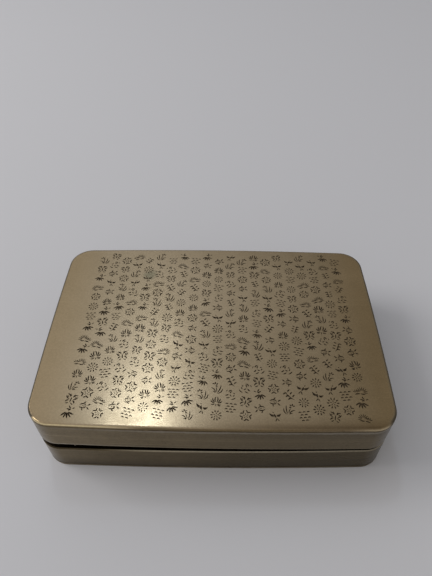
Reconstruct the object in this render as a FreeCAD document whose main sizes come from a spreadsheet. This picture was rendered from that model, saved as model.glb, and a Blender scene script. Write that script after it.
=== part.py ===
import FreeCAD, Part
import math
import os

import Sketcher
from FreeCAD import Placement, Rotation, Vector

# A flat rectangular ink box of brazed brass sheet, with a lift-off lid.
# Millimetres. X runs along the long sides, Y to the back, Z up. The origin is on the
# surface that the box stands on, under the middle of the box.
#
# Every wall follows one outline: four sides that bow out a little, and four round corners.
# A piece names the sheets and clearances that lie between the outside of the box and its own
# faces, and all of its outlines are that one outline, moved inwards by their sum.

SIZES = (
    ("box_length", 140.0, "outside, at the middle of the short sides"),
    ("box_depth", 95.6, "outside, at the middle of the long sides"),
    ("corner_radius", 9.8, "outside of the four upright corners"),
    ("long_bow_radius", 1860.0, "curve of the long sides"),
    ("short_bow_radius", 1600.0, "curve of the short sides"),
    ("base_height", 15.3, "top edge of the base's wall"),
    ("floor_plate", 1.5, "sheet under the base's wall"),
    ("foot_round", 0.6, "round of the floor plate's lower edge"),
    ("seam_bevel", 0.4, "bevel of both walls where lid and base meet"),
    ("lid_height", 15.9, "lower edge of the lid to its top"),
    ("lid_plate", 1.3, "thickness of the lid's top plate"),
    ("lid_round", 1.0, "round of the top plate's upper edge"),
    ("braze_bevel", 0.2, "bevel of the top plate's lower edge, over the brazed joint"),
    ("wall_bevel", 0.35, "bevel of the lid wall's upper edge, under that joint"),
    ("lid_wall", 1.4, "sheet of the lid's wall"),
    ("lid_tilt", 1.08, "degrees that the lid sits askew, its left end high"),
    ("lip_clearance", 0.4, "between the lid's wall and the lip inside it"),
    ("lip_sheet", 1.0, "sheet of the inner lip"),
    ("lip_rise", 8.5, "lip above the base's wall"),
    ("lip_hold", 5.0, "lip brazed to the inside of the base's wall"),
    ("liner_clearance", 0.2, "between the lip and the liner"),
    ("liner_sheet", 0.7, "copper sheet of the liner"),
    ("liner_floor_gap", 0.3, "under the liner, which hangs by its rim"),
    ("liner_round", 2.0, "inside round between the liner's floor and walls"),
    ("rim_round", 0.5, "round of the liner's rim into its well"),
    ("partition_sheet", 0.8, "copper wall between the two wells"),
    ("partition_drop", 1.0, "top of that wall below the liner's rim"),
    ("solder_gap", 0.05, "at each end of that wall"),
    ("seat_clearance", 0.3, "under what rests loosely on its seat"),
    ("wadding_clearance", 0.3, "between the wadding and the walls of its well"),
    ("wadding_height", 14.0, "thickness of the silk pad"),
    ("wadding_round", 3.0, "round of the pad's edges"),
    ("stick_width", 18.0, "ink stick, across"),
    ("stick_height", 10.0, "ink stick, thickness"),
    ("stick_side_room", 3.75, "finger room on each side of the stick"),
    ("stick_end_room", 6.0, "finger room at each end of the stick"),
    ("stick_round", 1.2, "round of the stick's edges"),
    ("stick_border", 2.6, "raised border round the stick's sunk face"),
    ("stick_relief", 0.5, "depth of that face"),
    ("slab_clearance", 0.3, "between the slate and the lid's wall"),
    ("slab_bed_height", 0.5, "lacquer putty over the slate"),
    ("slab_height", 5.0, "thickness of the slate"),
    ("frame_width", 4.0, "flat brass frame under the slate, across"),
    ("frame_sheet", 1.0, "thickness of that frame"),
    ("frame_bevel", 0.4, "bevel of the frame's inner edge"),
)

ROUND_SHARE = 0.8       # the most of a sheet's thickness that the round of its edge takes
EDGE_SHARE = 0.9        # the most of an upright corner's radius that the round along its ends takes
LEVEL = 0.99            # a direction counts as along an axis from this cosine on
CORNER_STEPS = 60       # repeats that settle where the outline's corners are centred
FIRST_HALF = 5.0        # mm, half of a rectangle's side before its dimensions are bound

doc = FreeCAD.newDocument("ink_box")
sheet = doc.addObject("Spreadsheet::Sheet", "Sizes")
for row, (alias, value, meaning) in enumerate(SIZES, 1):
    sheet.set("A%d" % row, alias)
    sheet.set("B%d" % row, str(value))
    sheet.set("C%d" % row, meaning)
    sheet.setAlias("B%d" % row, alias)
doc.recompute()


def total(names):
    """The expression for the sum of some sizes."""
    return "(" + " + ".join("Sizes." + name for name in names) + ")" if names else "0"


def number(names):
    """That sum as a number, to draw an outline where its constraints will put it."""
    return sum(sheet.get(name) for name in names)


# How far each face lies inside the outside of the box.
OUTSIDE = ()
LID_INSIDE = ("lid_wall",)
LIP_OUTSIDE = LID_INSIDE + ("lip_clearance",)
LIP_INSIDE = LIP_OUTSIDE + ("lip_sheet",)
LINER_OUTSIDE = LIP_INSIDE + ("liner_clearance",)
WELL = LINER_OUTSIDE + ("liner_sheet",)
WADDING = WELL + ("wadding_clearance",)
SLAB = LID_INSIDE + ("slab_clearance",)
FRAME_INSIDE = LID_INSIDE + ("frame_width",)

# Heights in the base, from the surface that the box stands on.
LIP_TOP = total(("base_height", "lip_rise"))
RIM_TOP = total(("base_height", "lip_rise", "liner_sheet"))
LINER_BOTTOM = total(("floor_plate", "liner_floor_gap"))
WELL_FLOOR = total(("floor_plate", "liner_floor_gap", "liner_sheet"))
WELL_SEAT = total(("floor_plate", "liner_floor_gap", "liner_sheet", "seat_clearance"))

# Heights in the lid, from its lower edge.
PLATE_UNDERSIDE = "(Sizes.lid_height - Sizes.lid_plate)"
BED_UNDERSIDE = "(%s - Sizes.slab_bed_height)" % PLATE_UNDERSIDE
SLAB_UNDERSIDE = "(%s - Sizes.slab_height)" % BED_UNDERSIDE
FRAME_UNDERSIDE = "(%s - Sizes.frame_sheet)" % SLAB_UNDERSIDE

# The lid comes down at its right end, where its frame lands on the liner's rim. With a low lip
# its own edge would land on the base's wall first.
RIM_REACH = "(Sizes.box_length / 2 - %s)" % total(LIP_OUTSIDE)
FRAME_LANDS = "Sizes.lip_rise + Sizes.liner_sheet - %s * cos(Sizes.lid_tilt) + %s * sin(Sizes.lid_tilt)" % (
    FRAME_UNDERSIDE, RIM_REACH)
EDGE_LANDS = "Sizes.box_length / 2 * sin(Sizes.lid_tilt)"
LID_SEAT = "Sizes.base_height + max(%s; %s) + Sizes.seat_clearance" % (FRAME_LANDS, EDGE_LANDS)

# The stick's well is as wide as the stick and its finger room.
STICK_X = "(Sizes.box_length / 2 - %s - Sizes.stick_side_room - Sizes.stick_width / 2)" % total(WELL)
PARTITION_RIGHT = "(%s - Sizes.stick_width / 2 - Sizes.stick_side_room)" % STICK_X
PARTITION_LEFT = "(%s - Sizes.partition_sheet)" % PARTITION_RIGHT


def new_body(label):
    body = doc.addObject("PartDesign::Body", label)
    body.Label = label
    return body


def new_sketch(body, name, height="0"):
    """A sketch level with the body's XY plane, at a height above it."""
    sketch = body.newObject("Sketcher::SketchObject", body.Label + "_" + name)
    plane = next(o for o in body.Origin.OriginFeatures if o.Role == "XY_Plane")
    sketch.AttachmentSupport = [(plane, "")]
    sketch.MapMode = "FlatFace"
    sketch.setExpression("AttachmentOffset.Base.z", height)
    return sketch


def outline(sketch, side, inset):
    """Draws the box's outline, moved inwards: right side, then on round to the lower right corner."""
    length, depth = sheet.get("box_length") / 2, sheet.get("box_depth") / 2
    corner, long_bow, short_bow = (
        sheet.get(name) for name in ("corner_radius", "long_bow_radius", "short_bow_radius"))
    move = number(inset)
    back_y, right_x = depth - long_bow, length - short_bow
    corner_x = corner_y = 0.0
    for _ in range(CORNER_STEPS):
        corner_x = right_x + math.sqrt((short_bow - corner) ** 2 - corner_y ** 2)
        corner_y = back_y + math.sqrt((long_bow - corner) ** 2 - corner_x ** 2)
    at_side = math.atan2(corner_y, corner_x - right_x)
    at_back = math.pi / 2 - math.atan2(corner_x, corner_y - back_y)
    turns = (-at_side, at_side, at_back, math.pi - at_back, math.pi - at_side, math.pi + at_side,
             math.pi + at_back, -at_back, -at_side)
    centres = ((right_x, 0, short_bow), (corner_x, corner_y, corner), (0, back_y, long_bow),
               (-corner_x, corner_y, corner), (-right_x, 0, short_bow), (-corner_x, -corner_y, corner),
               (0, -back_y, long_bow), (corner_x, -corner_y, corner))
    first = sketch.GeometryCount
    arcs = []
    for k, (x, y, radius) in enumerate(centres):
        circle = Part.Circle(Vector(x, y, 0), Vector(0, 0, 1), radius - move)
        arcs.append(Part.ArcOfCircle(circle, turns[k], turns[k + 1]))
    sketch.addGeometry(arcs, False)
    right, back, left, front = (first + k for k in (0, 2, 4, 6))
    corners = [first + k for k in (1, 3, 5, 7)]
    start, end, centre, origin = 1, 2, 3, -1
    rules = [Sketcher.Constraint("Tangent", first + k, end, first + (k + 1) % 8, start) for k in range(8)]
    rules += [
        Sketcher.Constraint("PointOnObject", right, centre, -1),
        Sketcher.Constraint("PointOnObject", back, centre, -2),
        Sketcher.Constraint("Symmetric", right, centre, left, centre, origin, 1),
        Sketcher.Constraint("Symmetric", back, centre, front, centre, origin, 1),
        Sketcher.Constraint("Equal", right, left),
        Sketcher.Constraint("Equal", back, front),
    ]
    rules += [Sketcher.Constraint("Equal", corners[0], k) for k in corners[1:]]
    sketch.addConstraint(rules)
    away = total(inset)
    measure(sketch, side + "_short_bow", ("Radius", right, short_bow - move),
            "Sizes.short_bow_radius - " + away)
    measure(sketch, side + "_long_bow", ("Radius", back, long_bow - move), "Sizes.long_bow_radius - " + away)
    measure(sketch, side + "_corner", ("Radius", corners[0], corner - move), "Sizes.corner_radius - " + away)
    measure(sketch, side + "_half_length", ("DistanceX", right, centre, origin, 1, -right_x),
            "Sizes.short_bow_radius - Sizes.box_length / 2")
    measure(sketch, side + "_half_depth", ("DistanceY", back, centre, origin, 1, -back_y),
            "Sizes.long_bow_radius - Sizes.box_depth / 2")


def measure(sketch, name, rule, expression):
    """Adds a dimension to a sketch and binds it."""
    index = sketch.addConstraint(Sketcher.Constraint(*rule))
    sketch.renameConstraint(index, name)
    sketch.setExpression("Constraints." + name, expression)


def rectangle(sketch, width, depth):
    """Draws a rectangle centred on the sketch's origin."""
    x = y = FIRST_HALF
    points = [Vector(-x, -y, 0), Vector(x, -y, 0), Vector(x, y, 0), Vector(-x, y, 0)]
    sketch.addGeometry([Part.LineSegment(points[k], points[(k + 1) % 4]) for k in range(4)], False)
    sketch.addConstraint(
        [Sketcher.Constraint("Coincident", k, 2, (k + 1) % 4, 1) for k in range(4)]
        + [Sketcher.Constraint("Horizontal", k) for k in (0, 2)]
        + [Sketcher.Constraint("Vertical", k) for k in (1, 3)]
        + [Sketcher.Constraint("Symmetric", 0, 1, 2, 1, -1, 1)])
    measure(sketch, "width", ("DistanceX", 0, 1, 0, 2, 2 * x), width)
    measure(sketch, "depth", ("DistanceY", 1, 1, 1, 2, 2 * y), depth)


def pad(body, sketch, name, length):
    feature = body.newObject("PartDesign::Pad", body.Label + "_" + name)
    feature.Profile = sketch
    feature.setExpression("Length", length)
    sketch.Visibility = False
    doc.recompute()
    return feature


def pocket(body, sketch, name, length):
    """Cuts downwards from the sketch, and makes sure that it did cut."""
    before = body.Shape.Volume
    feature = body.newObject("PartDesign::Pocket", body.Label + "_" + name)
    feature.Profile = sketch
    feature.setExpression("Length", length)
    sketch.Visibility = False
    doc.recompute()
    if not 0 < body.Shape.Volume < before:
        raise RuntimeError(feature.Name + " cut nothing")
    return feature


def level_edges(shape, level, side):
    """Names of the edges around one level face: its outer or inner edge. Level 0 is the lowest face."""
    faces = [f for f in shape.Faces if isinstance(f.Surface, Part.Plane) and abs(f.normalAt(0, 0).z) > LEVEL]
    face = sorted(faces, key=lambda f: f.CenterOfMass.z)[level]
    rims = [w for w in face.Wires if w.isSame(face.OuterWire) == (side == "outer")]
    edges = [e for w in rims for e in w.Edges]
    return ["Edge%d" % k for k, edge in enumerate(shape.Edges, 1) if any(edge.isSame(e) for e in edges)]


def round_edges(body, name, edges, radius):
    before = body.Tip
    feature = body.newObject("PartDesign::Fillet", body.Label + "_" + name)
    feature.Base = (before, edges)
    feature.setExpression("Radius", radius)
    doc.recompute()
    return feature


def bevel_edges(body, name, edges, size):
    before = body.Tip
    feature = body.newObject("PartDesign::Chamfer", body.Label + "_" + name)
    feature.Base = (before, edges)
    feature.setExpression("Size", size)
    doc.recompute()
    return feature


def plate(label, edge, low, height):
    """A level plate with the box's outline."""
    body = new_body(label)
    sketch = new_sketch(body, "outline", low)
    outline(sketch, "outer", edge)
    pad(body, sketch, "sheet", height)
    return body


def ring(label, outer, inner, low, height):
    """An upright wall or flat frame that runs all the way round."""
    body = new_body(label)
    sketch = new_sketch(body, "outline", low)
    outline(sketch, "outer", outer)
    outline(sketch, "inner", inner)
    pad(body, sketch, "wall", height)
    return body


def seat_in_lid(body):
    """Places a piece of the lid: a little askew, and down on its seat at the right."""
    body.Placement = Placement(Vector(0, 0, 0), Rotation(Vector(0, 1, 0), sheet.get("lid_tilt")))
    body.setExpression("Placement.Base.z", LID_SEAT)
    body.setExpression("Placement.Rotation.Angle", "Sizes.lid_tilt")
    return body


def make_base():
    floor = plate("base_floor_plate", OUTSIDE, "0", "Sizes.floor_plate")
    round_edges(floor, "foot_round", level_edges(floor.Shape, 0, "outer"),
                "min(Sizes.foot_round; %s * Sizes.floor_plate)" % ROUND_SHARE)
    wall = ring("base_wall_band", OUTSIDE, LIP_OUTSIDE, "Sizes.floor_plate",
                "Sizes.base_height - Sizes.floor_plate")
    bevel_edges(wall, "seam_bevel", level_edges(wall.Shape, -1, "outer"), "Sizes.seam_bevel")
    lip = ring("inner_lip", LIP_OUTSIDE, LIP_INSIDE, "Sizes.base_height - Sizes.lip_hold",
               total(("lip_hold", "lip_rise")))
    return [floor, wall, lip]


def make_liner():
    """The copper tray: a rim that lies on the lip, and a well with round lower edges."""
    liner = new_body("copper_liner")
    tray = new_sketch(liner, "tray_outline", LINER_BOTTOM)
    outline(tray, "outer", LINER_OUTSIDE)
    pad(liner, tray, "tray", "%s - %s" % (LIP_TOP, LINER_BOTTOM))
    rim = new_sketch(liner, "rim_outline", LIP_TOP)
    outline(rim, "outer", LIP_OUTSIDE)
    pad(liner, rim, "rim", "Sizes.liner_sheet")
    well = new_sketch(liner, "well_outline", RIM_TOP)
    outline(well, "outer", WELL)
    pocket(liner, well, "well", "%s - %s" % (RIM_TOP, WELL_FLOOR))
    round_edges(liner, "well_round", level_edges(liner.Shape, 1, "outer"), "Sizes.liner_round")
    round_edges(liner, "rim_round", level_edges(liner.Shape, -1, "inner"),
                "min(Sizes.rim_round; %s * Sizes.liner_sheet)" % ROUND_SHARE)
    round_edges(liner, "tray_round", level_edges(liner.Shape, 0, "outer"),
                total(("liner_round", "liner_sheet")))
    return liner


def make_partition():
    """A wall across the liner, with lower corners that fit the liner's rounds."""
    wall = new_body("well_partition")
    sketch = new_sketch(wall, "foot", "0")
    half = "(sqrt((Sizes.long_bow_radius - %s)^2 - %s^2) - Sizes.long_bow_radius + Sizes.box_depth / 2)" % (
        total(WELL), PARTITION_RIGHT)
    rectangle(sketch, "Sizes.partition_sheet", "2 * (%s - Sizes.solder_gap)" % half)
    pad(wall, sketch, "sheet", "%s - Sizes.partition_drop - %s" % (RIM_TOP, WELL_FLOOR))
    ends = [name for name in level_edges(wall.Shape, 0, "outer")
            if abs(wall.Shape.getElement(name).tangentAt(0).x) > LEVEL]
    round_edges(wall, "foot_round", ends, "Sizes.liner_round")
    wall.setExpression("Placement.Base.x", "%s + Sizes.partition_sheet / 2" % PARTITION_LEFT)
    wall.setExpression("Placement.Base.z", WELL_FLOOR)
    return wall


def make_wadding():
    """The silk pad: the large well's outline, cut off square beside the partition."""
    pad_body = plate("silk_wadding", WADDING, WELL_SEAT, "Sizes.wadding_height")
    cut = new_sketch(pad_body, "stick_side", total(("floor_plate", "liner_floor_gap", "liner_sheet",
                                                   "seat_clearance", "wadding_height")))
    spare = "(Sizes.box_length / 2 - %s + Sizes.wadding_clearance)" % PARTITION_LEFT
    rectangle(cut, spare, "Sizes.box_depth")
    cut.setExpression("AttachmentOffset.Base.x",
                      "%s - Sizes.wadding_clearance + %s / 2" % (PARTITION_LEFT, spare))
    pocket(pad_body, cut, "stick_side_cut", "Sizes.wadding_height")
    upright = ["Edge%d" % k for k, edge in enumerate(pad_body.Shape.Edges, 1)
               if len(edge.Vertexes) == 2 and abs(edge.tangentAt(edge.FirstParameter).z) > LEVEL
               and edge.CenterOfMass.x > pad_body.Shape.BoundBox.XMax - 1]
    round_edges(pad_body, "corner_round", upright, "Sizes.wadding_round")
    ends = level_edges(pad_body.Shape, 0, "outer") + level_edges(pad_body.Shape, -1, "outer")
    round_edges(pad_body, "edge_round", ends,
                "max(%s * Sizes.wadding_round; Sizes.liner_round)" % EDGE_SHARE)
    return pad_body


def make_stick():
    stick = new_body("ink_stick")
    length = "(Sizes.box_depth - 2 * %s - 2 * Sizes.stick_end_room)" % total(WELL)
    sketch = new_sketch(stick, "foot", "0")
    rectangle(sketch, "Sizes.stick_width", length)
    pad(stick, sketch, "block", "Sizes.stick_height")
    names = ["Edge%d" % k for k in range(1, len(stick.Shape.Edges) + 1)]
    round_edges(stick, "edge_round", names, "Sizes.stick_round")
    face = new_sketch(stick, "face_outline", "Sizes.stick_height")
    rectangle(face, "Sizes.stick_width - 2 * Sizes.stick_border", length + " - 2 * Sizes.stick_border")
    pocket(stick, face, "face", "Sizes.stick_relief")
    stick.setExpression("Placement.Base.x", STICK_X)
    stick.setExpression("Placement.Base.z", WELL_SEAT)
    return stick


def make_lid():
    top = plate("lid_top_plate", OUTSIDE, PLATE_UNDERSIDE, "Sizes.lid_plate")
    bevel_edges(top, "braze_bevel", level_edges(top.Shape, 0, "outer"),
                "min(Sizes.braze_bevel; (1 - %s) * Sizes.lid_plate)" % ROUND_SHARE)
    round_edges(top, "top_round", level_edges(top.Shape, -1, "outer"),
                "min(Sizes.lid_round; %s * Sizes.lid_plate)" % ROUND_SHARE)
    wall = ring("lid_wall_band", OUTSIDE, LID_INSIDE, "0", PLATE_UNDERSIDE)
    bevel_edges(wall, "seam_bevel", level_edges(wall.Shape, 0, "outer"), "Sizes.seam_bevel")
    bevel_edges(wall, "braze_bevel", level_edges(wall.Shape, -1, "outer"), "Sizes.wall_bevel")
    bed = plate("slab_bed", SLAB, BED_UNDERSIDE, "Sizes.slab_bed_height")
    slab = plate("slate_slab", SLAB, SLAB_UNDERSIDE, "Sizes.slab_height")
    frame = ring("slab_frame", LID_INSIDE, FRAME_INSIDE, FRAME_UNDERSIDE, "Sizes.frame_sheet")
    bevel_edges(frame, "frame_bevel", level_edges(frame.Shape, 0, "inner"), "Sizes.frame_bevel")
    return [seat_in_lid(body) for body in (top, wall, bed, slab, frame)]


def check(pieces):
    """Stops if anything in the document failed, or a piece isn't one whole solid."""
    for item in doc.Objects:
        if any(word in item.State for word in ("Invalid", "Error")):
            raise RuntimeError("%s failed: %s" % (item.Name, item.State))
    for piece in pieces:
        if piece.Shape.isNull() or not piece.Shape.isValid() or len(piece.Shape.Solids) != 1:
            raise RuntimeError(piece.Label + " is not one valid solid")


pieces = make_base() + [make_liner(), make_partition(), make_wadding(), make_stick()] + make_lid()
doc.recompute()
check(pieces)
os.makedirs("parts", exist_ok=True)
for piece in pieces:
    piece.Shape.exportStep(os.path.join("parts", piece.Label + ".step"))
    box = piece.Shape.BoundBox
    print("%-18s %8.1f mm3  x %.2f..%.2f  y %.2f..%.2f  z %.2f..%.2f" % (
        piece.Label, piece.Shape.Volume, box.XMin, box.XMax, box.YMin, box.YMax, box.ZMin, box.ZMax))
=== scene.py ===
import math
import random

import bpy
import mathutils
from mathutils import Matrix, Vector


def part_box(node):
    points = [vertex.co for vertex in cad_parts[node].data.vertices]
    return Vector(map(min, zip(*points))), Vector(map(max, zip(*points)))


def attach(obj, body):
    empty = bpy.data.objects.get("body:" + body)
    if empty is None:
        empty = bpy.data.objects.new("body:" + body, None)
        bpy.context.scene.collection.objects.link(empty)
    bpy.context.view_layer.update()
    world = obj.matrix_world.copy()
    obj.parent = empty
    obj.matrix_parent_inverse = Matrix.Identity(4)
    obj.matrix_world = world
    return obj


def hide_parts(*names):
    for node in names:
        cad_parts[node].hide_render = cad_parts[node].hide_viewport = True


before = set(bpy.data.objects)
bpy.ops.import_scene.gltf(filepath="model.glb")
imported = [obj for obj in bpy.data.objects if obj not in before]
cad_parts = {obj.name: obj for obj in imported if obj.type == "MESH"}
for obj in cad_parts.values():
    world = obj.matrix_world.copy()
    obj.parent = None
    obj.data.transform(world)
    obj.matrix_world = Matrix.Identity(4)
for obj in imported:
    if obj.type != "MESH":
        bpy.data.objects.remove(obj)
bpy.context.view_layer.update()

MM = 0.001
X_AXIS = Vector((1, 0, 0))
Y_AXIS = Vector((0, 1, 0))
SEED = 7

# ---- camera, light and floor

IMAGE_HEIGHT = 576          # pixels, the longer side
LENS_PIXELS = 500           # focal length
SENSOR = 36.0               # mm, on the longer side
CAMERA_AIM = Vector((-0.33, 53.31, 0)) * MM
CAMERA_AWAY = 274.67 * MM
CAMERA_TURN = math.radians(2.26)
CAMERA_RISE = math.radians(47.34)
CAMERA_ROLL = math.radians(-1.67)
FLOOR_SIZE = 8.0            # m
FLOOR_COLOUR = (0.69, 0.685, 0.712)
WALLS_BEHIND = (0.25, 0.238, 0.215), (0.50, 0.51, 0.535)    # the room's, to the right and to the left
WALLS_IN_FRONT = (0.34, 0.335, 0.33), (0.50, 0.495, 0.49)
LAMPS = (                   # name, place, size, power and colour
    ("side_softbox", (-1.0, 0.14, 0.82), (0.7, 0.7), 5.4, (1.0, 0.985, 0.96)),
    ("small_softbox", (-0.302, 0.76, 1.80), (0.11, 0.20), 1.33, (0.80, 0.905, 1.0)),
    ("low_softbox", (-0.215, 1.00, 1.68), (0.08, 0.30), 0.26, (0.84, 0.92, 1.0)))


def set_camera():
    """A camera held over the near side of the box, close by and looking down."""
    back = Vector((math.sin(CAMERA_TURN) * math.cos(CAMERA_RISE),
                   -math.cos(CAMERA_TURN) * math.cos(CAMERA_RISE), math.sin(CAMERA_RISE)))
    right = Vector((math.cos(CAMERA_TURN), math.sin(CAMERA_TURN), 0))
    up = back.cross(right)
    rolled = Matrix.Rotation(CAMERA_ROLL, 3, back)
    right, up = rolled @ right, rolled @ up
    data = bpy.data.cameras.new("camera")
    data.sensor_width = SENSOR
    data.lens = SENSOR * LENS_PIXELS / IMAGE_HEIGHT
    data.clip_start = 0.01
    camera = bpy.data.objects.new("camera", data)
    place = CAMERA_AIM + CAMERA_AWAY * back
    camera.matrix_world = Matrix.Translation(place) @ Matrix((right, up, back)).transposed().to_4x4()
    bpy.context.scene.collection.objects.link(camera)
    bpy.context.scene.camera = camera


def soft_box(name, place, size, power, colour):
    """A rectangular studio lamp that faces the object."""
    data = bpy.data.lights.new(name, "AREA")
    data.shape = "RECTANGLE"
    data.size, data.size_y = size
    data.energy = power
    data.color = colour
    lamp = bpy.data.objects.new(name, data)
    facing = (-Vector(place)).to_track_quat("-Z", "Y").to_matrix().to_4x4()
    lamp.matrix_world = Matrix.Translation(place) @ facing
    bpy.context.scene.collection.objects.link(lamp)


def set_room():
    """Pale walls, brighter to the left, dimmer to the right."""
    world = bpy.data.worlds.new("room")
    bpy.context.scene.world = world
    world.use_nodes = True
    tree = world.node_tree
    way = parts(add(tree, "TexCoord").outputs["Generated"])
    leftward = ramp(way["X"], 0.34, -0.10)
    rearward = ramp(way["Y"], -0.55, 0.35)
    light = blend(rearward, blend(leftward, *WALLS_IN_FRONT), blend(leftward, *WALLS_BEHIND))
    give(tree.nodes["Background"].inputs["Color"], light)


def set_floor():
    deselect()
    bpy.ops.mesh.primitive_plane_add(size=FLOOR_SIZE)
    floor = bpy.context.object
    floor.name = "floor"
    material, shader, _ = new_material("pale_floor")
    set_up(shader, Base_Color=FLOOR_COLOUR, Roughness=0.9)
    floor.data.materials.append(material)


# ---- nodes

NOISE_SPAN = (0.30, 0.70)       # where most of a noise lies


def is_socket(value):
    return isinstance(value, bpy.types.NodeSocket)


def give(socket, value):
    """Links a socket to another node's, or sets it to a number or a colour."""
    if is_socket(value):
        socket.id_data.links.new(value, socket)
    elif socket.type == "RGBA" and isinstance(value, tuple):
        socket.default_value = (*value, 1)
    else:
        socket.default_value = value


def add(tree, kind, inputs=None, **settings):
    """A new node, with its settings and its inputs."""
    node = tree.nodes.new("ShaderNode" + kind)
    for name, value in settings.items():
        setattr(node, name, value)
    for name, value in (inputs or {}).items():
        give(node.inputs[name], value)
    return node


def tree_of(*values):
    """The node tree of the first value that is a socket."""
    return next(value for value in values if is_socket(value)).id_data


def maths(operation, *values, kind="Math", result=0):
    return add(tree_of(*values), kind, dict(enumerate(values)), operation=operation).outputs[result]


def times(one, other):
    return maths("MULTIPLY", one, other)


def plus_share(whole, part, share):
    """The whole and a share of the part, added up."""
    return maths("MULTIPLY_ADD", part, share, whole)


def ramp(value, low, high, start=0.0, end=1.0):
    """Runs smoothly from start to end as the value goes from low to high."""
    inputs = {"Value": value, "From Min": low, "From Max": high, "To Min": start, "To Max": end}
    return add(value.id_data, "MapRange", inputs, interpolation_type="SMOOTHSTEP").outputs[0]


def blend(mask, under, over, way="MIX"):
    """Colour over lies on colour under where the mask is 1."""
    tree = tree_of(mask, under, over)
    return add(tree, "Mix", {0: mask, 6: under, 7: over}, data_type="RGBA", blend_type=way).outputs[2]


def noise(spot, scale, detail=3.0, roughness=0.55):
    inputs = {"Vector": spot, "Scale": scale, "Detail": detail, "Roughness": roughness}
    return add(spot.id_data, "TexNoise", inputs).outputs[0]


def speckled(spot, tone, scale, depth):
    """A colour made a little darker and lighter in fine specks."""
    specks = ramp(noise(spot, scale, 2.0), *NOISE_SPAN, 1.0 - depth, 1.0 + depth)
    return blend(1.0, tone, specks, "MULTIPLY")


def stretched(spot, stretch):
    return maths("MULTIPLY", spot, stretch, kind="VectorMath")


def pushed(spot, scale, detail, reach):
    """A place that noise has moved about."""
    push = add(spot.id_data, "TexNoise", {"Vector": spot, "Scale": scale, "Detail": detail}).outputs["Color"]
    return maths("MULTIPLY_ADD", push, (reach, reach, reach), spot, kind="VectorMath")


def parts(vector):
    """A vector's X, Y and Z."""
    return add(vector.id_data, "SeparateXYZ", {0: vector}).outputs


def facing_up(spot):
    """1 where a face lies flat, 0 where it stands upright."""
    return parts(add(spot.id_data, "NewGeometry").outputs["Normal"])["Z"]


def object_spot(tree):
    return add(tree, "TexCoord").outputs["Object"]


def new_group(name, outputs, **inputs):
    """A node group: the place it is given, all that it is given, and where its results go."""
    tree = bpy.data.node_groups.new(name, "ShaderNodeTree")
    for label, (kind, value) in {"Spot": ("Vector", (0, 0, 0)), **inputs}.items():
        socket = tree.interface.new_socket(label, in_out="INPUT", socket_type="NodeSocket" + kind)
        socket.default_value = value
    for label, kind in outputs.items():
        tree.interface.new_socket(label, in_out="OUTPUT", socket_type="NodeSocket" + kind)
    given = tree.nodes.new("NodeGroupInput").outputs
    return given["Spot"], given, tree.nodes.new("NodeGroupOutput").inputs


def use(name, spot, **values):
    """Places a group in a material, and returns its results."""
    inputs = {"Spot": spot, **{label.capitalize(): value for label, value in values.items()}}
    return add(spot.id_data, "Group", inputs, node_tree=bpy.data.node_groups[name]).outputs


def brush_grain_group():
    """Long fine lines left by a brush or a scraper, and a few stray scratches."""
    spot, given, out = new_group("brush_grain", {"Lines": "Float", "Hairs": "Float", "Scratches": "Float"},
                                 Stretch=("Vector", (1, 1, 1)))
    laid = stretched(spot, given["Stretch"])
    give(out["Lines"], noise(laid, 1.0, 4.0, 0.7))
    give(out["Hairs"], noise(laid, 5.3, 2.0, 0.6))
    askew = add(spot.id_data, "Mapping", {"Vector": laid, "Rotation": (0.02, 0.05, 0.09)}).outputs[0]
    give(out["Scratches"], ramp(noise(askew, 2.2, 1.0), 0.70, 0.76))


def old_brass_group():
    """Brass that has darkened unevenly: broad clouds, finger-wide smears and a fine speckle."""
    spot, given, out = new_group("old_brass", {"Tone": "Color", "Dullness": "Float"},
                                 Clean=("Color", (1, 1, 1, 1)), Dull=("Color", (0, 0, 0, 1)),
                                 Age=("Float", 0.5))
    clouds = ramp(noise(spot, 22.0, 3.0, 0.6), 0.36, 0.66)
    smears = ramp(noise(spot, 150.0, 4.0, 0.65), 0.42, 0.70)
    speckle = ramp(noise(spot, 1100.0, 2.0, 0.5), 0.45, 0.75)
    mottled = plus_share(plus_share(times(clouds, 0.65), smears, 0.35), speckle, 0.18)
    dullness = times(mottled, given["Age"])
    give(out["Dullness"], dullness)
    give(out["Tone"], blend(dullness, given["Clean"], given["Dull"]))


def rubbed_edge_group():
    """Where a rounded edge is rubbed bright: neither lying flat nor standing upright."""
    spot, _, out = new_group("rubbed_edge", {"Rubbed": "Float"})
    lie = maths("ABSOLUTE", facing_up(spot))
    edge = times(ramp(lie, 0.12, 0.45), ramp(lie, 0.985, 0.90))
    patchy = ramp(noise(spot, 60.0), 0.30, 0.62, 0.45, 1.0)
    give(out["Rubbed"], times(edge, patchy))


def ragged_line_group():
    """A ragged line at one height, for dark lines along joints and for painted highlight lines."""
    spot, given, out = new_group("ragged_line", {"Trace": "Float"},
                                 Height=("Float", 0), Width=("Float", 0.001))
    off = maths("ABSOLUTE", maths("SUBTRACT", parts(spot)["Z"], given["Height"]))
    ragged = ramp(noise(spot, 260.0, 4.0, 0.7), 0.25, 0.75, 0.45, 1.4)
    give(out["Trace"], ramp(maths("DIVIDE", off, times(given["Width"], ragged)), 1.0, 0.35))


def stain_group():
    """One ragged blot round a point."""
    spot, given, out = new_group("stain", {"Blot": "Float"},
                                 Middle=("Vector", (0, 0, 0)), Reach=("Float", 0.01))
    away = maths("DISTANCE", spot, given["Middle"], kind="VectorMath", result="Value")
    ragged = maths("SUBTRACT", noise(spot, 420.0, 4.0, 0.65), 0.5)
    give(out["Blot"], ramp(maths("ADD", maths("DIVIDE", away, given["Reach"]), ragged), 1.0, 0.25))


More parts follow.
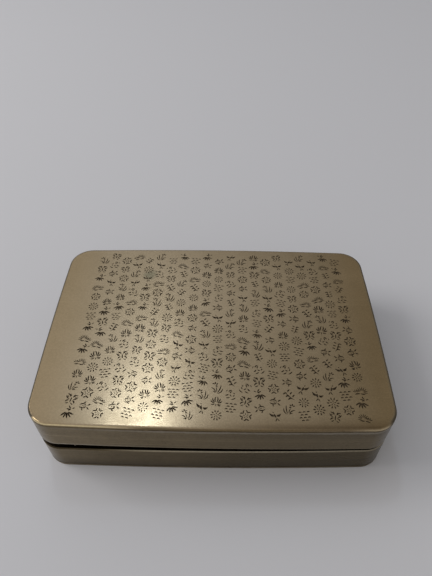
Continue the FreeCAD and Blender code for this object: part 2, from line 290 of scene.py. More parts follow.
def plate_rim_group():
    """A band along the edge of the lid's plate, whose sides bow out and whose corners are round."""
    spot, given, out = new_group("plate_rim", {"Rim": "Float"}, Width=("Float", 0.001))
    place = parts(spot)
    past = []
    for along, across, half, bow in (("X", "Y", PLATE_HALF.x, SHORT_BOW),
                                     ("Y", "X", PLATE_HALF.y, LONG_BOW)):
        drawn_in = times(times(place[across], place[across]), 0.5 / bow)
        reach = maths("ADD", maths("ABSOLUTE", place[along]), drawn_in)
        past.append(maths("MAXIMUM", maths("SUBTRACT", reach, half - PLATE_CORNER), 0.0))
    round_corner = maths("SQRT", plus_share(times(past[1], past[1]), past[0], past[0]))
    inside = maths("DIVIDE", maths("SUBTRACT", PLATE_CORNER, round_corner), given["Width"])
    give(out["Rim"], ramp(inside, 1.0, 0.0))


# ---- finishes

PLATE_HALF = Vector((70.0, 47.8)) * MM
PLATE_CORNER = 9.8 * MM
SHORT_BOW = 1600.0 * MM
LONG_BOW = 1860.0 * MM
RIM_WIDTH = 1.5 * MM
PLATE_SHEET = 1.3 * MM
LID_HEIGHT = 15.9 * MM
FLOOR_SHEET = 1.5 * MM
STAIN_PLACE = (-0.030, 0.030, 0.0)
STAIN_REACH = 4.5 * MM
POOL_PLACE = (0.012, -0.004, -0.0068)
POOL_REACH = 34.0 * MM
BRUSHED_WAY = "brushed_way"
CLEAN_BRASS = (0.53, 0.42, 0.275)
DULL_BRASS = (0.41, 0.32, 0.20)
WALL_CLEAN = (0.262, 0.202, 0.112)
WALL_DULL = (0.150, 0.113, 0.059)
LOW_WALL_CLEAN = (0.190, 0.142, 0.070)
LOW_WALL_DULL = (0.086, 0.062, 0.024)
# painted highlight colour for light lines on the walls
WALL_HIGHLIGHT = (0.40, 0.35, 0.27)
# painted shade colour for the plate's downturned edge
UNDER_EDGE_SHADE = (0.21, 0.15, 0.078)
# painted highlight colour for the glint near the right end
PAINTED_GLINT = (0.53, 0.42, 0.26)
BRINK_SHADE = (0.70, 0.68, 0.66)
# painted highlight colour for the front-left rounding
FRONT_LEFT_HIGHLIGHT = (0.95, 0.785, 0.47)
# painted shade colour for the rim's dark outline
PAINTED_DARK_RIM = (0.060, 0.048, 0.030)
WARMER = (0.93, 0.88, 0.79)
FRONT_SHADE = (0.70, 0.66, 0.62)
BACK_SHADE = (0.89, 0.88, 0.86)
STAIN_GREEN = (0.10, 0.13, 0.085)
FOOT_DARK = (0.058, 0.042, 0.018)
FOOT_DARK_TOP = 11.0 * MM
RUBBED_BRASS = (0.68, 0.56, 0.36)
# dark brown for dirt in joints and seams, also used for painted shade
DIRT_AND_SHADE = (0.045, 0.034, 0.022)
ALONG_X = (12.0, 2400.0, 12.0)      # per metre: how often brush lines change along and across
ROUND_THE_WALL = (7.0, 7.0, 1400.0)
WALL_STREAKS = (2.0, 2.0, 950.0)
LEFT_END = -70.0 * MM
RIGHTWARD_SHADE_REACH = (-40.0 * MM, 42.0 * MM)
SEAM_PLACE = -22.0 * MM             # where the ends of a wall's strip meet, at the back
SEAM_WIDTH = 0.30 * MM


def mm(low, high):
    return low * MM, high * MM


# Bands and reaches: from where to where something comes on, and then its strength at each end.
WARM_ENDS = mm(46.0, 68.0)
PLATE_SHADES = (                    # across the plate, along it, and the shade
    (mm(-41.0, -47.0), (*mm(-25.0, 45.0), 0.25), FRONT_SHADE),
    (mm(30.0, 47.0), (*mm(-45.0, 0.0), 0.2), BACK_SHADE),
    (mm(-44.6, -46.6), mm(-22.0, 40.0), BRINK_SHADE))
EDGE_BEGINS = (LEFT_END, -20.0 * MM)
EDGE_ENDS = (*mm(20.0, 60.0), 1.0, 0.0)
GLINT_REACH = mm(48.0, 64.0)
FRONT_LEFT_REACH = (*mm(-22.0, -42.0), 0.0, 0.9)
FRONT_LEFT_BAND = mm(-43.2, -44.5)
LEFT_ROUND_REACH = mm(-50.0, -60.0)
DARK_RIM_BAND = mm(-44.5, -43.0)
DARK_RIM_REACH = mm(64.0, 67.5)
DARK_JOINT_REACH = mm(-50.0, -20.0)
WALL_SHADE_BAND = mm(-9.5, -4.0)
# painted shade on the bevel at the left, and a painted highlight on it at the right
BEVEL_SHADES = (                    # along the bevel of the base's wall, and its colour
    ((*mm(-48.0, -25.0), 0.75, 0.0), DIRT_AND_SHADE),
    ((*mm(-48.0, -20.0), 0.0, 0.7), WALL_HIGHLIGHT))
STREAK_REACH = (*mm(-50.0, -10.0), 0.45)


def lid_spot(tree):
    """Object coordinates turned into the tilted lid's own: the top face is at height 0."""
    top = top_face("lid_top_plate")
    inputs = {"Vector": object_spot(tree), "Location": top.translation, "Rotation": top.to_euler()}
    return add(tree, "Mapping", inputs, vector_type="TEXTURE").outputs[0]


def new_material(name, spot_of=object_spot):
    """A material, its shader, and the place that its patterns follow."""
    material = bpy.data.materials.new(name)
    material.use_nodes = True
    return material, material.node_tree.nodes["Principled BSDF"], spot_of(material.node_tree)


def set_up(shader, **values):
    """Sets or links a shader's inputs; an underscore in a name stands for a space."""
    for label, value in values.items():
        give(shader.inputs[label.replace("_", " ")], value)


def lift(shader, height, distance, strength=1.0):
    """Relief from a height value; distance is the height in metres."""
    inputs = {"Height": height, "Distance": distance, "Strength": strength}
    set_up(shader, Normal=add(shader.id_data, "Bump", inputs).outputs["Normal"])


def brass(name, spot_of, stretch, clean, dull, age, roughness, anisotropic, dark_joints=(), rub=0.3, relief=0.5):
    """Brushed brass; dark_joints lists dark lines along joints: each its height, its width and its share at
    the left.

    Returns the material, its shader, the place its patterns follow, its colour and its roughness.
    """
    material, shader, spot = new_material(name, spot_of)
    set_up(shader, Metallic=1.0, Anisotropic=anisotropic)
    grain = use("brush_grain", spot, stretch=stretch)
    old = use("old_brass", spot, clean=clean, dull=dull, age=age)
    lines = ramp(grain["Lines"], *NOISE_SPAN)
    tone = blend(times(lines, 0.08 + 0.4 * relief), old["Tone"], dull)
    tone = blend(times(grain["Scratches"], 0.5), tone, RUBBED_BRASS)
    rubbed = times(use("rubbed_edge", spot)["Rubbed"], rub)
    tone = blend(rubbed, tone, RUBBED_BRASS)
    rough = plus_share(roughness, old["Dullness"], 0.08)
    rough = plus_share(rough, lines, 0.1 * relief)
    rough = plus_share(rough, rubbed, -0.06)
    along = parts(spot)["X"]
    for height, width, at_left in dark_joints:
        dark_joint = use("ragged_line", spot, height=height, width=width)["Trace"]
        dark_joint = times(dark_joint, ramp(along, *DARK_JOINT_REACH, at_left, 1.0))
        tone = blend(times(dark_joint, 0.85), tone, DIRT_AND_SHADE)
        rough = plus_share(rough, dark_joint, 0.3)
    lift(shader, plus_share(grain["Lines"], grain["Hairs"], 0.35), 0.006 * MM, relief)
    return material, shader, spot, tone, rough


def engraved_brass():
    """The lid's top: brushed along its length, with painted shade along its edges, painted highlights on its
    front edge, and a painted dark outline along the rest of its rim.
    """
    # the dark line along the plate's joint with the wall is partly dirt and partly painted shadow under the
    # plate's edge
    material, shader, spot, tone, rough = brass(
        "brushed_brass_top", lid_spot, ALONG_X, CLEAN_BRASS, DULL_BRASS, 0.8, 0.195, 0.45,
        [(-PLATE_SHEET, 0.5 * MM, 0.5)], 0.20, 0.12)
    way = parts(spot)
    up = facing_up(spot)
    tone = blend(ramp(maths("ABSOLUTE", way["X"]), *WARM_ENDS), tone, WARMER, "MULTIPLY")
    for band, reach, shade in PLATE_SHADES:
        tone = blend(times(ramp(way["Y"], *band), ramp(way["X"], *reach)), tone, shade, "MULTIPLY")
    # painted shade: where the plate's edge turns down, through the middle of its length, it is darkened to a
    # dark brown
    turned_down = ramp(up, 0.93, 0.62)
    edge = times(ramp(way["X"], *EDGE_BEGINS), ramp(way["X"], *EDGE_ENDS))
    tone = blend(times(edge, turned_down), tone, UNDER_EDGE_SHADE)
    # painted highlight: a golden glint on the downturned edge near the right end
    tone = blend(times(ramp(way["X"], *GLINT_REACH), turned_down), tone, PAINTED_GLINT)
    # painted highlight: a bright golden colour on the front edge's rounding towards the left end, with
    # painted shade on the rounding's lowest part there
    front_left = times(ramp(way["X"], *FRONT_LEFT_REACH), ramp(way["Y"], *FRONT_LEFT_BAND))
    tone = blend(times(front_left, turned_down), tone, FRONT_LEFT_HIGHLIGHT)
    tone = blend(times(front_left, ramp(up, 0.55, 0.25)), tone, UNDER_EDGE_SHADE)
    # painted shade: along the rim, except on the front edge, the plate is made dark, dull and hardly
    # metallic, so that it shows as a dark outline and does not reflect the lamps
    rim = use("plate_rim", spot, width=RIM_WIDTH)["Rim"]
    left_round = times(ramp(up, 0.999, 0.965), ramp(way["X"], *LEFT_ROUND_REACH))
    away = maths("MAXIMUM", ramp(way["Y"], *DARK_RIM_BAND), ramp(way["X"], *DARK_RIM_REACH))
    dark_rim = times(maths("MAXIMUM", rim, left_round), times(away, 0.94))
    tone = blend(dark_rim, tone, PAINTED_DARK_RIM)
    blot = use("stain", spot, middle=STAIN_PLACE, reach=STAIN_REACH)["Blot"]
    tone = blend(times(blot, 0.45), tone, STAIN_GREEN)
    along_x = add(spot.id_data, "Tangent", direction_type="UV_MAP", uv_map=BRUSHED_WAY).outputs[0]
    set_up(shader, Base_Color=speckled(spot, tone, 1300.0, 0.06),
           Metallic=plus_share(1.0, dark_rim, -0.85),
           Roughness=maths("MAXIMUM", rough, times(dark_rim, 0.8)),
           Anisotropic_Rotation=0.25, Tangent=along_x)
    return material


def wall_brass(name, spot_of, clean, dull, dark_joints, highlight_lines=(), foot=False):
    """A wall: with painted shade towards the right, dirty along its seam, and with painted highlight lines.

    A highlight line is its height, its width, and its strength at the left end and from the middle on. The
    wall with the foot is darker towards the bottom and has painted shade and a painted highlight on its
    bevel; the other has painted shade under the plate.
    """
    material, shader, spot, tone, rough = brass(name, spot_of, ROUND_THE_WALL, clean, dull,
                                                0.6, 0.21, 0.45, dark_joints, 0.05)
    way = parts(spot)
    up = facing_up(spot)
    # painted shade: the wall turns towards its dull colour to the right, away from the light
    tone = blend(ramp(way["X"], *RIGHTWARD_SHADE_REACH, 0.0, 0.75), tone, dull)
    off = maths("ABSOLUTE", maths("SUBTRACT", way["X"], SEAM_PLACE))
    seam = times(ramp(off, SEAM_WIDTH, SEAM_WIDTH * 0.4), ramp(way["Y"], 0.0, 0.01))
    tone = blend(times(seam, 0.8), tone, DIRT_AND_SHADE)
    # painted highlight: light lines along the wall at the given heights
    for height, width, at_left, onwards in highlight_lines:
        line = use("ragged_line", spot, height=height, width=width)["Trace"]
        tone = blend(times(line, ramp(way["X"], LEFT_END, 0.0, at_left, onwards)), tone, WALL_HIGHLIGHT)
    if foot:
        # darker towards the bottom
        level = plus_share(way["Z"], noise(spot, 90.0), FOOT_DARK_TOP * 0.5)
        tone = blend(ramp(level, FOOT_DARK_TOP, FOOT_DARK_TOP * 0.1, 0.0, 0.8), tone, FOOT_DARK)
        # painted shade and a painted highlight on the bevel on top of the base's wall
        bevel = ramp(up, 0.35, 0.60)
        for reach, colour in BEVEL_SHADES:
            tone = blend(times(bevel, ramp(way["X"], *reach)), tone, colour)
    else:
        # painted shade under the plate, stronger to the right
        shade = times(ramp(way["Z"], *WALL_SHADE_BAND), ramp(way["X"], *RIGHTWARD_SHADE_REACH, 0.12, 0.28))
        tone = blend(shade, tone, DIRT_AND_SHADE)
    # painted shade: faces that look up, such as the top of the base's wall inside the seam gap, are darkened
    tone = blend(ramp(up, 0.78, 0.92), tone, DIRT_AND_SHADE)
    streaks = ramp(use("brush_grain", spot, stretch=WALL_STREAKS)["Lines"], 0.32, 0.68, 0.87, 1.13)
    tone = blend(ramp(way["X"], *STREAK_REACH), tone, streaks, "MULTIPLY")
    set_up(shader, Base_Color=speckled(spot, tone, 900.0, 0.07), Roughness=rough, Anisotropic_Rotation=0.25)
    return material


def flat_brass(name, spot_of, clean, dull, age):
    material, shader, _, tone, rough = brass(name, spot_of, ALONG_X, clean, dull, age, 0.30, 0.3)
    set_up(shader, Base_Color=tone, Roughness=rough)
    return material


def inked_shaded_lip():
    """The lip that the lid slides on: ink has crept up it and dried, and its near-black also stands as
    painted shade in the seam gap.
    """
    material, shader, spot, tone, rough = brass("ink_stained_shaded_lip", object_spot, ROUND_THE_WALL, WALL_CLEAN,
                                                WALL_DULL, 1.0, 0.45, 0.2)
    ink = ramp(noise(spot, 120.0, 5.0, 0.7), 0.30, 0.62, 0.45, 0.97)
    set_up(shader, Base_Color=blend(ink, tone, (0.012, 0.010, 0.008)), Roughness=rough)
    return material


def groove_patina():
    """Dried ink and polish packed in the cuts."""
    material, shader, spot = new_material("groove_patina")
    patches = ramp(noise(spot, 160.0, 4.0, 0.7), 0.35, 0.72)
    set_up(shader, Base_Color=blend(patches, (0.028, 0.018, 0.009), (0.075, 0.051, 0.026)),
           Specular_IOR_Level=0.2, Roughness=ramp(noise(spot, 900.0), *NOISE_SPAN, 0.6, 0.85))
    return material


def red_copper():
    """Planished copper, pink where it is wiped and black where ink has dried."""
    material, shader, spot = new_material("red_copper")
    old = use("old_brass", spot, clean=(0.72, 0.36, 0.22), dull=(0.36, 0.15, 0.09), age=0.9)
    level = plus_share(parts(spot)["Z"], noise(spot, 140.0, 5.0, 0.7), -14.0 * MM)
    ink = ramp(level, *mm(8.5, 4.0))
    rough = plus_share(0.24, old["Dullness"], 0.15)
    set_up(shader, Metallic=1.0, Roughness=plus_share(rough, ink, 0.2),
           Base_Color=blend(times(ink, 0.9), old["Tone"], (0.02, 0.016, 0.016)))
    dents = add(spot.id_data, "TexVoronoi", {"Vector": spot, "Scale": 240.0}, feature="SMOOTH_F1")
    lift(shader, dents.outputs["Distance"], 0.10 * MM, 0.5)
    return material


def honed_slate():
    """Slate in fine layers, black and smooth where ink has been ground on it."""
    material, shader, spot = new_material("honed_slate", lid_spot)
    layers = noise(stretched(spot, (30.0, 110.0, 900.0)), 1.0, 6.0, 0.65)
    grit = noise(spot, 2600.0, 2.0)
    stone = blend(ramp(layers, 0.32, 0.70), (0.050, 0.055, 0.062), (0.105, 0.110, 0.115))
    stone = blend(ramp(grit, 0.45, 0.75, 0.0, 0.25), stone, (0.17, 0.17, 0.17))
    pool = use("stain", spot, middle=POOL_PLACE, reach=POOL_REACH)["Blot"]
    set_up(shader, Base_Color=blend(pool, stone, (0.010, 0.010, 0.012)),
           Roughness=plus_share(ramp(grit, *NOISE_SPAN, 0.5, 0.62), pool, -0.18))
    lift(shader, plus_share(layers, grit, 0.3), 0.05 * MM, 0.5)
    return material


def lacquer_putty():
    material, shader, spot = new_material("lacquer_putty")
    lumps = noise(spot, 700.0, 5.0, 0.65)
    set_up(shader, Base_Color=blend(lumps, (0.030, 0.016, 0.010), (0.075, 0.040, 0.024)),
           Roughness=ramp(lumps, *NOISE_SPAN, 0.45, 0.7))
    lift(shader, lumps, 0.08 * MM)
    return material


def inked_silk():
    """Silk floss soaked in ink, its fibres lying in swirls."""
    material, shader, spot = new_material("inked_silk")
    swirled = pushed(spot, 28.0, 2.0, 0.05)
    strands = noise(stretched(swirled, (60.0, 820.0, 300.0)), 1.0, 3.0, 0.6)
    fibres = noise(stretched(swirled, (300.0, 3200.0, 900.0)), 1.0, 3.0, 0.7)
    floss = plus_share(times(strands, 0.6), fibres, 0.4)
    wet = ramp(noise(spot, 45.0), 0.40, 0.66)
    dry = blend(ramp(floss, 0.36, 0.62), (0.010, 0.010, 0.012), (0.082, 0.080, 0.086))
    set_up(shader, Base_Color=blend(times(wet, 0.85), dry, (0.009, 0.009, 0.011)),
           Roughness=ramp(wet, 0.0, 1.0, 0.80, 0.30), Sheen_Weight=0.15, Sheen_Roughness=0.4)
    lift(shader, floss, 0.7 * MM, 0.9)
    return material


def pressed_ink():
    """Dense moulded ink, with fine cracks from drying."""
    material, shader, spot = new_material("pressed_ink")
    inputs = {"Vector": pushed(spot, 400.0, 3.0, 0.0016), "Scale": 160.0}
    cells = add(spot.id_data, "TexVoronoi", inputs, feature="DISTANCE_TO_EDGE").outputs["Distance"]
    crack = times(ramp(cells, 0.022, 0.006), ramp(noise(spot, 60.0), 0.50, 0.60))
    dust = noise(spot, 300.0, 5.0, 0.7)
    tone = blend(ramp(dust, 0.45, 0.80), (0.020, 0.020, 0.023), (0.060, 0.056, 0.054))
    rubbed = use("rubbed_edge", spot)["Rubbed"]
    tone = blend(times(rubbed, 0.35), tone, (0.085, 0.075, 0.066))
    set_up(shader, Base_Color=blend(crack, tone, (0.006, 0.006, 0.006)),
           Roughness=ramp(dust, *NOISE_SPAN, 0.34, 0.58))
    lift(shader, maths("SUBTRACT", times(dust, 0.3), crack), 0.06 * MM, 0.7)
    return material


def worn_gilding():
    """Powder gold on the raised relief, rubbed through to the ink."""
    material, shader, spot = new_material("worn_gilding")
    left = ramp(noise(spot, 520.0, 5.0, 0.7), 0.40, 0.56)
    set_up(shader, Base_Color=blend(left, (0.022, 0.021, 0.022), (0.56, 0.38, 0.14)),
           Metallic=times(left, 0.85), Roughness=ramp(left, 0.0, 1.0, 0.5, 0.38))
    lift(shader, left, 0.02 * MM, 0.4)
    return material


# ---- helpers

def edit_mode():
    bpy.ops.object.mode_set(mode="EDIT")


def object_mode():
    bpy.ops.object.mode_set(mode="OBJECT")


def deselect():
    if bpy.context.object and bpy.context.object.mode != "OBJECT":
        object_mode()
    bpy.ops.object.select_all(action="DESELECT")


def activate(piece):
    deselect()
    piece.select_set(True)
    bpy.context.view_layer.objects.active = piece


def modify(piece, kind, **settings):
    """Adds a modifier to the piece, sets it and applies it."""
    activate(piece)
    modifier = piece.modifiers.new(kind, kind)
    for name, value in settings.items():
        setattr(modifier, name, value)
    bpy.ops.object.modifier_apply(modifier=modifier.name)


def copy_of_node(name, node):
    """A new piece with a CAD node's shape, its loose triangles merged."""
    piece = bpy.data.objects.new(name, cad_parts[node].data.copy())
    bpy.context.scene.collection.objects.link(piece)
    activate(piece)
    edit_mode()
    bpy.ops.mesh.select_all(action="SELECT")
    bpy.ops.mesh.remove_doubles(threshold=0.001 * MM)
    object_mode()
    bpy.ops.mesh.customdata_custom_splitnormals_clear()
    piece.data.materials.clear()
    return piece


def finish(piece, *materials):
    piece.data.materials.clear()
    for material in materials:
        piece.data.materials.append(material)


def smooth(piece, angle=30):
    """Smooth shading that breaks at sharp edges and keeps wide faces flat."""
    activate(piece)
    bpy.ops.object.shade_smooth_by_angle(angle=math.radians(angle))
    modify(piece, "WEIGHTED_NORMAL", keep_sharp=True)


def select(piece, kind, wanted):
    """Selects the wanted vertices (VERT) or faces (FACE), and stays in edit mode."""
    activate(piece)
    edit_mode()
    bpy.ops.mesh.select_mode(type=kind)
    bpy.ops.mesh.select_all(action="DESELECT")
    object_mode()
    for element in piece.data.vertices if kind == "VERT" else piece.data.polygons:
        element.select = wanted(element)
    edit_mode()


def divide(piece, wanted, middle, lines):
    """Divides the wanted faces along lines: each an axis, how many either way, and how far apart."""
    for axis, count, pitch in lines:
        for k in range(-count, count + 1):
            select(piece, "FACE", wanted)
            bpy.ops.mesh.bisect(plane_co=middle + axis * (k * pitch), plane_no=axis)
            object_mode()


def carve(piece, tool, operation="DIFFERENCE"):
    """Cuts the tool out of the piece, or joins it on, and removes the tool."""
    modify(piece, "BOOLEAN", operation=operation, solver="MANIFOLD", object=tool)
    bpy.data.objects.remove(tool)


# ---- engraving

# A stroke is (start, end, bow, width): bow is how far its middle stands out to the left.
# Motifs are drawn in a cell one unit square, centred on the origin.

def on_ring(radius, degrees, centre=(0.0, 0.0)):
    angle = math.radians(degrees)
    return centre[0] + radius * math.cos(angle), centre[1] + radius * math.sin(angle)


def rays(centre, turns, near, far, width, bow=0.0):
    """Straight or bowed cuts that run out from a point."""
    for turn in turns:
        yield on_ring(near, turn, centre), on_ring(far, turn, centre), bow, width


def blossom():
    """A plum blossom: five round petals, each of two bowed cuts, and short stamens."""
    for k in range(5):
        turn = 90 + 72 * k
        yield on_ring(0.21, turn - 31), on_ring(0.48, turn - 3), -0.085, 0.125
        yield on_ring(0.48, turn + 3), on_ring(0.21, turn + 31), -0.085, 0.125
        yield on_ring(0.05, turn), on_ring(0.24, turn), 0.0, 0.085


def bamboo():
    """A sprig of bamboo: a jointed stem and hanging leaves."""
    yield (-0.46, 0.46), (-0.22, 0.32), 0.02, 0.10
    yield (-0.19, 0.30), (0.04, 0.16), 0.02, 0.10
    yield from rays((0.06, 0.12), (-158, -128, -100, -72, -42), 0.05, 0.60, 0.15, 0.025)
    yield from rays((-0.20, 0.30), (8, 50), 0.05, 0.42, 0.12, -0.02)


def orchid():
    """Long blades from one root and a small flower."""
    yield (-0.10, -0.48), (-0.47, 0.10), 0.14, 0.11
    yield (-0.08, -0.48), (-0.30, 0.40), 0.08, 0.11
    yield (0.00, -0.48), (0.48, -0.02), 0.15, 0.11
    yield (-0.02, -0.46), (0.28, -0.30), 0.05, 0.09
    yield (-0.05, -0.40), (0.10, 0.14), 0.06, 0.09
    yield from rays((0.14, 0.26), (15, 75, 135, 205), 0.04, 0.26, 0.13, 0.03)


def cloud():
    """A rolled cloud with trailing ends."""
    for k in range(4):
        start, end = 80 - 88 * k, 2 - 88 * k
        near, far = 0.26 - 0.035 * k, 0.225 - 0.035 * k
        yield on_ring(near, start, (-0.14, 0.08)), on_ring(far, end, (-0.14, 0.08)), 0.07 - 0.012 * k, 0.12
    yield (-0.08, 0.42), (0.26, 0.22), 0.08, 0.13
    yield (0.18, 0.06), (0.49, -0.12), -0.06, 0.13
    yield (0.02, -0.22), (0.38, -0.34), -0.05, 0.12
    yield (-0.46, -0.18), (-0.06, -0.42), -0.06, 0.12
    yield (0.30, 0.40), (0.46, 0.20), 0.04, 0.09


def pine():
    """Two fans of pine needles on a twig."""
    yield from rays((-0.14, -0.16), range(20, 200, 25), 0.08, 0.50, 0.085)
    yield from rays((0.28, -0.26), range(30, 130, 33), 0.06, 0.36, 0.085)
    yield (-0.44, -0.30), (0.02, -0.30), -0.05, 0.13
    yield (-0.02, -0.32), (0.46, -0.40), 0.03, 0.13


def daisy():
    """A small chrysanthemum: narrow petals in two rounds about a dot."""
    yield from rays((0, 0), range(0, 360, 36), 0.24, 0.49, 0.125)
    yield from rays((0, 0), range(18, 378, 72), 0.08, 0.25, 0.10)
    yield (-0.05, 0.0), (0.05, 0.0), 0.0, 0.09


def butterfly():
    yield (0.0, 0.20), (0.0, -0.32), 0.0, 0.12
    for side in (-1, 1):
        yield (0.07 * side, 0.12), (0.46 * side, 0.38), 0.10 * side, 0.13
        yield (0.47 * side, 0.30), (0.12 * side, -0.02), 0.08 * side, 0.12
        yield (0.20 * side, 0.12), (0.38 * side, 0.24), 0.0, 0.09
        yield (0.09 * side, -0.10), (0.36 * side, -0.34), 0.09 * side, 0.13
        yield (0.34 * side, -0.40), (0.08 * side, -0.26), 0.05 * side, 0.10
        yield (0.03 * side, 0.26), (0.18 * side, 0.48), -0.04 * side, 0.07


def ripples():
    """Rows of low waves, each row set off from the next."""
    for row in range(4):
        shift = 0.10 if row % 2 else -0.02
        for k in range(3 if row % 2 == 0 else 2):
            x = -0.47 + shift + 0.32 * k
            yield (x, 0.34 - 0.23 * row), (x + 0.29, 0.34 - 0.23 * row), 0.07, 0.12


def fish():
    """A small carp, curved, with a forked tail and scales."""
    yield (-0.44, 0.02), (0.22, 0.06), 0.17, 0.13
    yield (0.22, 0.00), (-0.44, -0.04), 0.15, 0.13
    yield (0.22, 0.06), (0.48, 0.28), 0.03, 0.13
    yield (0.22, 0.00), (0.48, -0.22), -0.03, 0.13
    yield (-0.08, 0.22), (0.06, 0.42), 0.04, 0.12
    yield (-0.12, -0.18), (0.00, -0.38), -0.04, 0.11
    yield (-0.31, 0.04), (-0.25, 0.04), 0.0, 0.09
    for k in range(3):
        yield (-0.14 + 0.11 * k, 0.09), (-0.14 + 0.11 * k, -0.06), 0.03, 0.075


def swallow():
    """A swallow in flight, wings spread and tail forked."""
    yield (-0.06, 0.24), (0.06, -0.16), -0.04, 0.18
    yield (-0.04, 0.12), (-0.48, 0.34), 0.10, 0.14
    yield (-0.06, 0.02), (-0.42, 0.16), 0.06, 0.11
    yield (0.04, 0.10), (0.48, 0.20), -0.10, 0.14
    yield (0.06, 0.00), (0.42, 0.04), -0.06, 0.11
    yield (0.04, -0.16), (-0.10, -0.48), 0.03, 0.10
    yield (0.08, -0.16), (0.26, -0.46), -0.03, 0.10
    yield (-0.07, 0.27), (-0.16, 0.42), 0.02, 0.09


def lotus():
    """An open lotus over a low leaf."""
    for side in (-1, 1):
        yield (0.02 * side, -0.10), (0.03 * side, 0.46), -0.10 * side, 0.13
        yield (0.06 * side, -0.10), (0.30 * side, 0.34), -0.10 * side, 0.13
        yield (0.08 * side, -0.14), (0.48 * side, 0.10), -0.08 * side, 0.13
        yield (0.06 * side, -0.22), (0.44 * side, -0.28), -0.05 * side, 0.12
    yield (0.0, -0.18), (-0.04, -0.48), 0.02, 0.09
    yield (0.10, -0.40), (0.38, -0.44), 0.04, 0.09


def grass_tuft():
    """A curved stem with paired leaves."""
    yield (-0.36, -0.48), (0.14, 0.44), -0.12, 0.10
    for k in range(3):
        x, y = -0.20 + 0.11 * k, -0.28 + 0.26 * k
        yield (x, y), (x + 0.36, y - 0.06), 0.07, 0.14
        yield (x - 0.04, y + 0.06), (x - 0.28, y + 0.22), -0.05, 0.13


MOTIFS = (blossom, bamboo, cloud, daisy, orchid, fish, pine, butterfly, ripples, lotus, swallow, grass_tuft)
FIELD_COLUMNS = 21
FIELD_ROWS = 15
COLUMN_PITCH = 5.515 * MM
ROW_PITCH = 5.79 * MM
FIELD_SHIFT = Vector((2.05, 0.05, 0)) * MM
MOTIF_SIZE = 4.95 * MM
CUT_DEPTH = 0.30 * MM
CUT_ABOVE = 0.05 * MM
BROAD_CUT = 0.13            # a cut this wide, as a share of the cell, has the full depth
TOUCH_SHARE = 0.62          # how near that is, as a share of both strokes' widths, and what is added
TOUCH_SPARE = 0.02
FLAT_MARGIN = 0.35 * MM
PLATE_SPAN = 160 * MM       # the square that the plate's UV map covers


def chisel_cut():
    """One cut of a graver: a long wedge, flat on top, with a ridge below and both ends pointed."""
    deselect()
    bpy.ops.mesh.primitive_cube_add(size=1)
    cut = bpy.context.object
    cut.name = "chisel_cut"
    edit_mode()
    for x in (-0.25, 0.0, 0.25):
        bpy.ops.mesh.select_all(action="SELECT")
        bpy.ops.mesh.bisect(plane_co=(x, 0, 0), plane_no=(1, 0, 0))
    object_mode()
    select(cut, "VERT", lambda vertex: vertex.co.z < 0)
    bpy.ops.transform.resize(value=(1, 0, 1))
    bpy.ops.mesh.remove_doubles(threshold=0.01)
    object_mode()
    for side in (-1, 1):
        select(cut, "VERT", lambda vertex: vertex.co.x * side > 0.4)
        bpy.ops.mesh.merge(type="CENTER")
        object_mode()
    for vertex in cut.data.vertices:
        if abs(vertex.co.x) > 0.4:
            vertex.co.z = 0.5
        elif abs(vertex.co.x) > 0.2:
            vertex.co.y *= 0.8
    activate(cut)
    edit_mode()
    bpy.ops.mesh.select_all(action="SELECT")
    bpy.ops.mesh.quads_convert_to_tris()
    bpy.ops.mesh.normals_make_consistent(inside=False)
    object_mode()
    return cut


def top_face(node):
    """The middle of a node's largest upward face on the Z axis, and its axes."""
    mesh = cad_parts[node].data
    face = max((p for p in mesh.polygons if p.normal.z > 0.9), key=lambda p: p.area)
    normal = face.normal.normalized()
    along = Vector((0, 1, 0)).cross(normal).normalized()
    height = face.center.dot(normal) / normal.z
    axes = Matrix((along, normal.cross(along), normal)).transposed().to_4x4()
    return Matrix.Translation((0, 0, height)) @ axes


def field_of_motifs():
    """Motifs in half-drop rows, each a little turned and scaled, as cut by hand."""
    chance = random.Random(SEED)
    for column in range(FIELD_COLUMNS):
        for row in range(FIELD_ROWS):
            drop = 0.25 if column % 2 else -0.25
            x = (column - (FIELD_COLUMNS - 1) / 2) * COLUMN_PITCH
            y = (row - (FIELD_ROWS - 1) / 2 + drop) * ROW_PITCH
            motif = MOTIFS[(column * 5 + row * 7 + chance.randint(0, 2)) % len(MOTIFS)]
            size = MOTIF_SIZE * chance.uniform(0.90, 1.04)
            turn = math.radians(chance.uniform(-16, 16))
            flip = chance.choice((-1, 1))
            place = Matrix.Translation(FIELD_SHIFT + Vector((x, y, 0))) @ Matrix.Rotation(turn, 4, "Z")
            yield motif, place @ Matrix.Diagonal((size * flip, size, 1, 1)), flip


def along_stroke(start, end, bow, t):
    """A point of the stroke's middle line, and the direction across it."""
    a, b = Vector((*start, 0)), Vector((*end, 0))
    side = Vector((a.y - b.y, b.x - a.x, 0)).normalized()
    middle = a.lerp(b, t) + side * (bow * 4 * t * (1 - t))
    lean = (b - a) + side * (bow * 4 * (1 - 2 * t))
    return middle, Vector((-lean.y, lean.x, 0)).normalized()


def lay_cut(points, stroke, place, above, depth, broad):
    """Puts one cut's points along its stroke; a stroke as wide as broad has the full depth."""
    *line, width = stroke
    laid = []
    for p in points:
        middle, across = along_stroke(*line, p.x + 0.5)
        spot = place @ (middle + across * (p.y * width))
        spot.z = above if p.z > 0 else -depth * min(1.0, width / broad)
        laid.append(spot)
    return laid


def touch(one, other):
    """Whether two strokes lie too near each other to be cut in one round."""
    *one_line, one_width = one
    *other_line, other_width = other
    ones, others = ([along_stroke(*line, k / 6)[0] for k in range(7)] for line in (one_line, other_line))
    gap = min((a - b).length for a in ones for b in others)
    return gap < TOUCH_SHARE * (one_width + other_width) + TOUCH_SPARE


def rounds_of_cutting(motif):
    """Shares a motif's strokes out in rounds, so that no two in a round touch."""
    rounds = []
    for stroke in motif():
        free = [done for done in rounds if not any(touch(stroke, other) for other in done)]
        if free:
            free[0].append(stroke)
        else:
            rounds.append([stroke])
    return rounds


